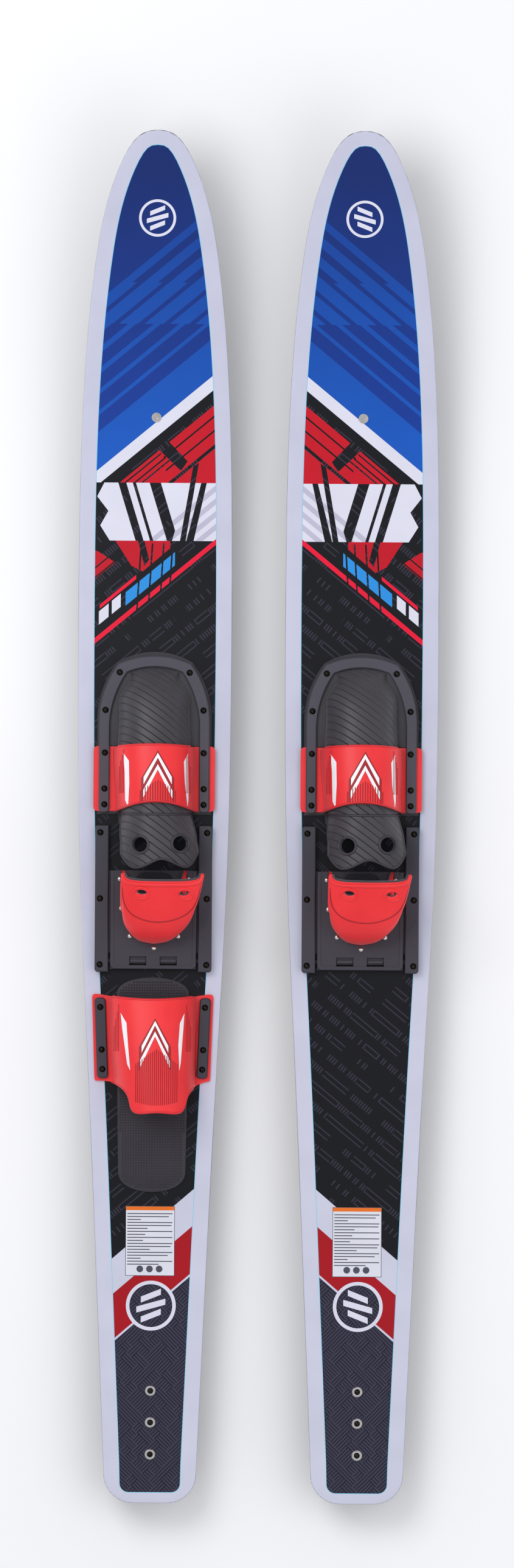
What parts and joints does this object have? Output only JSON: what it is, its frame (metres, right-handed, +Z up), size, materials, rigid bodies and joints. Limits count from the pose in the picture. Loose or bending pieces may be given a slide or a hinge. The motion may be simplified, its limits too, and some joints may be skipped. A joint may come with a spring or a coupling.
{
  "type": "water ski pair",
  "caption": "Pair of flat-tailed combination water skis with rubber front boots, sliding heel cups and a rear toe strap on one ski.",
  "frame": {"origin": "midway between the two skis and midway along them, at the lowest edge of the fins", "axes": "+Y towards the tips, +X to the skier's right, +Z up from the decks"},
  "size_m": [0.4476, 1.7018, 0.157],
  "materials": {
    "foam_core": "painted sidewall over a light core",
    "printed_deck": "gloss printed sheet",
    "black_base": "satin",
    "chromed_metal": "polished",
    "dark_steel": "blackened",
    "fin_nylon": "moulded",
    "black_nylon": "moulded",
    "grey_nylon": "moulded, satin",
    "black_rubber": "moulded, matt",
    "red_rubber": "moulded, satin",
    "black_foam": "closed-cell foam, embossed"
  },
  "bodies": {
    "left_ski": {"left_ski_core": "foam_core", "left_deck_sheet": "printed_deck", "left_base_sheet": "black_base", "left_front_insert": "chromed_metal", "left_fin": "fin_nylon", "left_fin_screws": "dark_steel", "left_fin_washers": "chromed_metal", "left_toe_baseplate": "black_nylon", "left_toe_pad": "black_foam", "left_toe_rubber": "black_rubber", "left_toe_strap": "red_rubber", "left_horseshoe_clamp": "grey_nylon", "left_clamp_screws": "dark_steel", "left_outer_rail": "grey_nylon", "left_index_rail": "grey_nylon", "left_rail_screws": "dark_steel", "left_rear_pad": "black_foam", "left_rear_strap": "red_rubber", "left_rear_outer_bar": "grey_nylon", "left_rear_inner_bar": "grey_nylon", "left_rear_bar_screws": "dark_steel"},
    "left_heel": {"left_heel_slider": "black_nylon", "left_heel_spacer": "black_nylon", "left_heel_cover": "grey_nylon", "left_heel_rubber": "red_rubber", "left_heel_liner": "black_foam", "left_heel_pad": "black_foam", "left_heel_rivets": "chromed_metal", "left_lock_pin": "chromed_metal"},
    "left_lock": {"left_lock_bar": "grey_nylon"},
    "right_ski": {"right_ski_core": "foam_core", "right_deck_sheet": "printed_deck", "right_base_sheet": "black_base", "right_front_insert": "chromed_metal", "right_fin": "fin_nylon", "right_fin_screws": "dark_steel", "right_fin_washers": "chromed_metal", "right_toe_baseplate": "black_nylon", "right_toe_pad": "black_foam", "right_toe_rubber": "black_rubber", "right_toe_strap": "red_rubber", "right_horseshoe_clamp": "grey_nylon", "right_clamp_screws": "dark_steel", "right_outer_rail": "grey_nylon", "right_index_rail": "grey_nylon", "right_rail_screws": "dark_steel"},
    "right_heel": {"right_heel_slider": "black_nylon", "right_heel_spacer": "black_nylon", "right_heel_cover": "grey_nylon", "right_heel_rubber": "red_rubber", "right_heel_liner": "black_foam", "right_heel_pad": "black_foam", "right_heel_rivets": "chromed_metal", "right_lock_pin": "chromed_metal"},
    "right_lock": {"right_lock_bar": "grey_nylon"}
  },
  "joints": [
    {"name": "right_ski_free", "type": "slide", "parent": "left_ski", "child": "right_ski", "axis": [1, 0, 0], "range_m": [0, 0.25]},
    {"name": "left_heel_slide", "type": "slide", "parent": "left_ski", "child": "left_heel", "axis": [0, 1, 0], "range_m": [0, 0.0432]},
    {"name": "left_lock_press", "type": "hinge", "parent": "left_heel", "child": "left_lock", "pos_m": [-0.1285, -0.15, 0.0642], "axis": [1, 0, 0], "range_deg": [0, 4.7], "stiffness_Nm_per_rad": 3, "springref_deg": -2.86},
    {"name": "right_heel_slide", "type": "slide", "parent": "right_ski", "child": "right_heel", "axis": [0, 1, 0], "range_m": [0, 0.0432]},
    {"name": "right_lock_press", "type": "hinge", "parent": "right_heel", "child": "right_lock", "pos_m": [0.1285, -0.15, 0.0642], "axis": [1, 0, 0], "range_deg": [0, 4.7], "stiffness_Nm_per_rad": 3, "springref_deg": -2.86}
  ]
}
